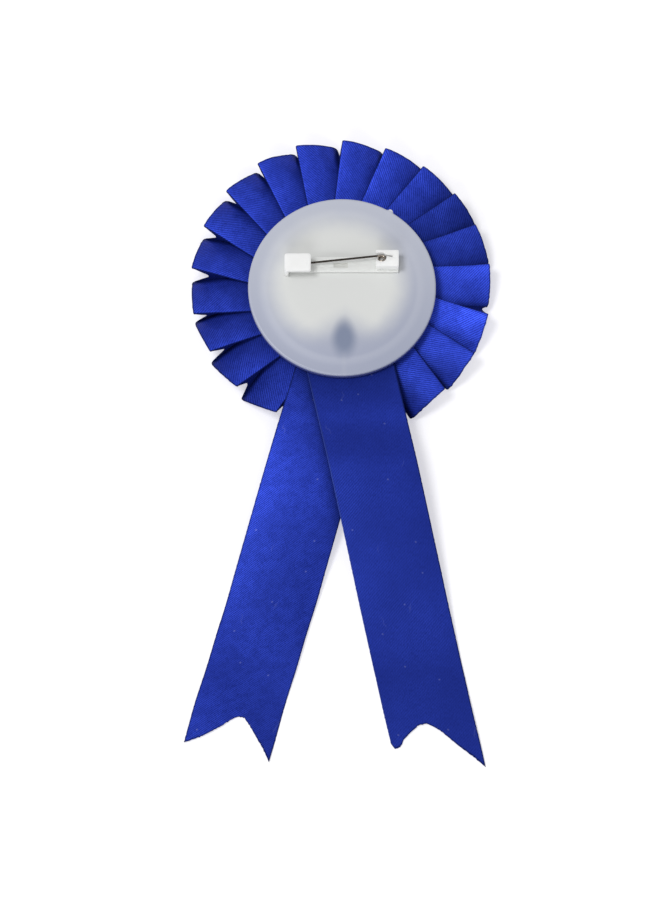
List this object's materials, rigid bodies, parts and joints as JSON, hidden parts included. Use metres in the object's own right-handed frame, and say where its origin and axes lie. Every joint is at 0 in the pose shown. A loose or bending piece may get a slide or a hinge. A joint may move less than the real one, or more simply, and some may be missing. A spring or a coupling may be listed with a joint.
{
  "type": "award rosette",
  "caption": "Blue satin award rosette with a knife-pleated ring, forked ribbon tails, a frosted back shell and a pivoting pin.",
  "frame": {"origin": "middle of the rosette's flat front face, which the rosette lies on", "axes": "+Z out of the pin side, -Y along the tails, +X to the right with the pin side up and the tails down"},
  "size_m": [0.0902, 0.1907, 0.0156],
  "materials": {
    "blue_satin": "royal blue woven satin, fine diagonal weave",
    "blue_thread": "blue sewing thread",
    "frosted_plastic": "frosted translucent moulded plastic",
    "white_plastic": "white moulded plastic, soft gloss",
    "pin_steel": "dark polished steel wire",
    "adhesive_film": "clear adhesive film",
    "hot_glue": "clear hot-melt glue over blue satin",
    "white_card": "white card",
    "white_gloss": "white moulded plastic",
    "printed_paper": null,
    "clear_film": "clear plastic cover"
  },
  "bodies": {
    "rosette": {"clear_cover": "clear_film", "artwork_disc": "printed_paper", "front_button": "white_gloss", "card_disc": "white_card", "pleated_ribbon": "blue_satin", "gathering_thread": "blue_thread", "tail_left_root": "blue_satin", "tail_right_root": "blue_satin", "tail_glue_dab": "hot_glue", "back_shell": "frosted_plastic", "pin_adhesive": "adhesive_film", "pin_bar": "white_plastic", "pin_anchor_wire": "pin_steel"},
    "tails": {"tail_left": "blue_satin", "tail_right": "blue_satin"},
    "needle": {"pin_needle": "pin_steel"}
  },
  "joints": [
    {"name": "needle_pivot", "type": "hinge", "parent": "rosette", "child": "needle", "pos_m": [0.0116, 0.00763, 0.01384], "axis": [0, 0.2588, 0.9659], "range_deg": [0, 40]},
    {"name": "tail_bend", "type": "hinge", "parent": "rosette", "child": "tails", "pos_m": [0, -0.0294, 0.00747], "axis": [-1, 0, 0], "range_deg": [0, 50]}
  ]
}
